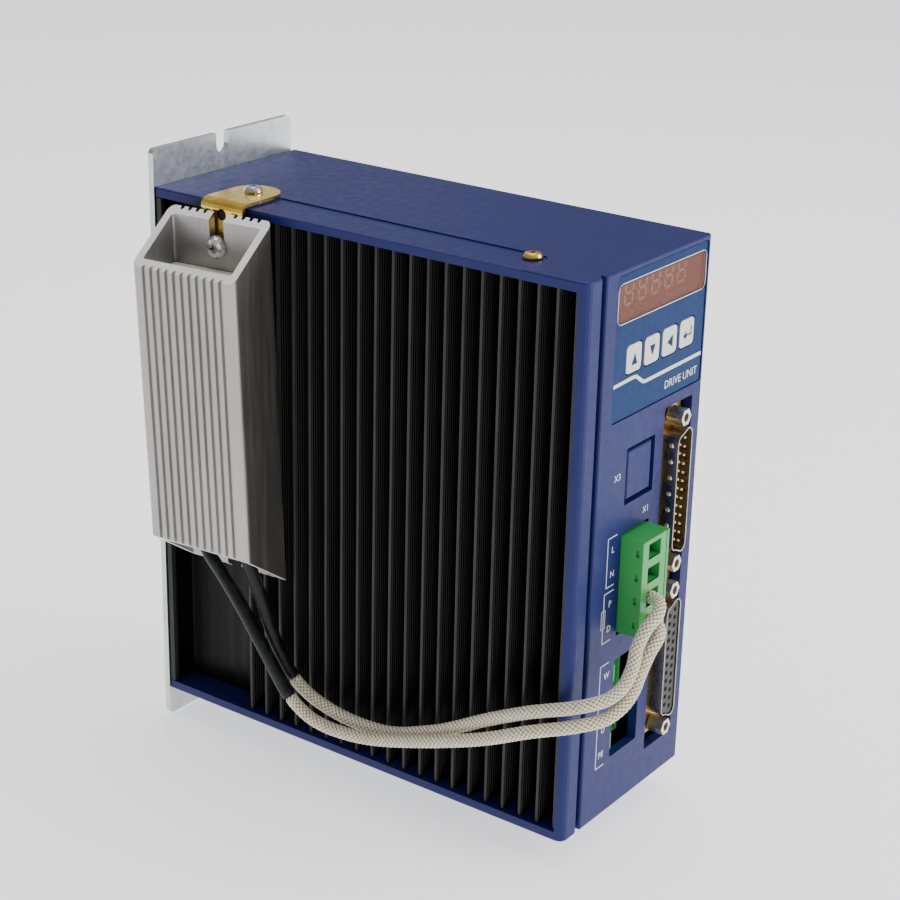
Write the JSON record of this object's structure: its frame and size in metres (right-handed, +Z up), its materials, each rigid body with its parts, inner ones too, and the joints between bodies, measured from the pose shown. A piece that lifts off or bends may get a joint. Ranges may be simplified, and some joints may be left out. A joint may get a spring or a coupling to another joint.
{
  "type": "servo drive",
  "caption": "Slim servo drive in a blue case with a finned black heat sink, a brake resistor with braided leads, a keypad with display, pluggable terminals and signal ports.",
  "frame": {"origin": "centre of the mounting plate's rear face, which goes against the cabinet's panel", "axes": "+Z up, -Y out of the front panel, -X towards the heat sink"},
  "size_m": [0.0903, 0.1758, 0.1944],
  "materials": {
    "zinc_plate": "bright zinc plate",
    "bright_steel": "nickel plate",
    "black_anodised": "black anodised",
    "blue_plastic": "fine texture",
    "brass_plate": "bright",
    "raw_aluminium": "clear anodised extrusion",
    "filling": "cast cement",
    "overlay_blue": "satin print",
    "window_tint": "tinted",
    "black_plastic": "moulded",
    "circuit_board": "solder mask",
    "key_white": "printed",
    "green_plastic": "moulded",
    "nickel": "nickel plate",
    "capacitor_sleeve": "shrunk sleeve",
    "transformer_tape": "polyester tape",
    "black_sleeving": "silicone sleeving",
    "glass_braid": "woven glass braid"
  },
  "bodies": {
    "drive": {"mounting_plate": "zinc_plate", "plate_screw_top": "bright_steel", "plate_screw_bottom": "bright_steel", "heat_sink": "black_anodised", "housing": "blue_plastic", "housing_screw_top": "brass_plate", "housing_screw_bottom": "brass_plate", "resistor_body": "raw_aluminium", "resistor_core": "filling", "resistor_clip_top": "brass_plate", "resistor_clip_bottom": "brass_plate", "clip_screw_top": "bright_steel", "clip_screw_bottom": "bright_steel", "resistor_screw_top": "bright_steel", "resistor_screw_bottom": "bright_steel", "display_overlay": "overlay_blue", "display_window": "window_tint", "digit_module": "black_plastic", "display_board": "circuit_board", "switch_up": "black_plastic", "switch_down": "black_plastic", "switch_left": "black_plastic", "switch_enter": "black_plastic", "blank_port_cover": "blue_plastic", "input_header": "green_plastic", "motor_header": "green_plastic", "upper_port_shell": "nickel", "upper_port_insulator": "black_plastic", "upper_port_jackscrew_top": "nickel", "upper_port_jackscrew_bottom": "nickel", "lower_port_shell": "nickel", "lower_port_insulator": "black_plastic", "lower_port_jackscrew_top": "nickel", "lower_port_jackscrew_bottom": "nickel", "control_board": "circuit_board", "power_board": "circuit_board", "power_module": "black_plastic", "rectifier_bridge": "black_plastic", "bulk_capacitor_1": "capacitor_sleeve", "bulk_capacitor_2": "capacitor_sleeve", "transformer": "transformer_tape", "inrush_relay": "black_plastic", "lead_sleeve_1": "black_sleeving", "lead_sleeve_2": "black_sleeving", "lead_1": "glass_braid", "lead_2": "glass_braid"},
    "key_up": {"key_up": "key_white"},
    "key_down": {"key_down": "key_white"},
    "key_left": {"key_left": "key_white"},
    "key_enter": {"key_enter": "key_white"},
    "plug": {"terminal_plug": "green_plastic"},
    "clamp_screw_1": {"clamp_screw_1": "bright_steel"},
    "clamp_cage_1": {"clamp_cage_1": "bright_steel"},
    "clamp_screw_2": {"clamp_screw_2": "bright_steel"},
    "clamp_cage_2": {"clamp_cage_2": "bright_steel"},
    "clamp_screw_3": {"clamp_screw_3": "bright_steel"},
    "clamp_cage_3": {"clamp_cage_3": "bright_steel"},
    "clamp_screw_4": {"clamp_screw_4": "bright_steel"},
    "clamp_cage_4": {"clamp_cage_4": "bright_steel"}
  },
  "joints": [
    {"name": "press_up", "type": "slide", "parent": "drive", "child": "key_up", "axis": [0, 1, 0], "range_m": [0, 0.0005], "stiffness_N_per_m": 3200},
    {"name": "press_down", "type": "slide", "parent": "drive", "child": "key_down", "axis": [0, 1, 0], "range_m": [0, 0.0005], "stiffness_N_per_m": 3200},
    {"name": "press_left", "type": "slide", "parent": "drive", "child": "key_left", "axis": [0, 1, 0], "range_m": [0, 0.0005], "stiffness_N_per_m": 3200},
    {"name": "press_enter", "type": "slide", "parent": "drive", "child": "key_enter", "axis": [0, 1, 0], "range_m": [0, 0.0005], "stiffness_N_per_m": 3200},
    {"name": "plug_slide", "type": "slide", "parent": "drive", "child": "plug", "axis": [0, -1, 0], "range_m": [0, 0.012], "deforming": ["lead_1", "lead_2"]},
    {"name": "clamp_turn_1", "type": "hinge", "parent": "plug", "child": "clamp_screw_1", "pos_m": [0.0032, -0.1611, 0.00059], "axis": [1, 0, 0], "range_deg": [-1440, 0]},
    {"name": "clamp_rise_1", "type": "slide", "parent": "plug", "child": "clamp_cage_1", "axis": [1, 0, 0], "range_m": [0, 0.002]},
    {"name": "clamp_turn_2", "type": "hinge", "parent": "plug", "child": "clamp_screw_2", "pos_m": [0.0032, -0.1611, -0.00703], "axis": [1, 0, 0], "range_deg": [-1440, 0]},
    {"name": "clamp_rise_2", "type": "slide", "parent": "plug", "child": "clamp_cage_2", "axis": [1, 0, 0], "range_m": [0, 0.002]},
    {"name": "clamp_turn_3", "type": "hinge", "parent": "plug", "child": "clamp_screw_3", "pos_m": [0.0032, -0.1611, -0.01465], "axis": [1, 0, 0], "range_deg": [0, 1080]},
    {"name": "clamp_rise_3", "type": "slide", "parent": "plug", "child": "clamp_cage_3", "axis": [1, 0, 0], "range_m": [-0.0015, 0]},
    {"name": "clamp_turn_4", "type": "hinge", "parent": "plug", "child": "clamp_screw_4", "pos_m": [0.0032, -0.1611, -0.02227], "axis": [1, 0, 0], "range_deg": [0, 1080]},
    {"name": "clamp_rise_4", "type": "slide", "parent": "plug", "child": "clamp_cage_4", "axis": [1, 0, 0], "range_m": [-0.0015, 0]}
  ],
  "couplings": [
    {"joint": "clamp_turn_1", "follows": "clamp_rise_1", "rad_per_m": -12566},
    {"joint": "clamp_turn_2", "follows": "clamp_rise_2", "rad_per_m": -12566},
    {"joint": "clamp_turn_3", "follows": "clamp_rise_3", "rad_per_m": -12566},
    {"joint": "clamp_turn_4", "follows": "clamp_rise_4", "rad_per_m": -12566}
  ]
}
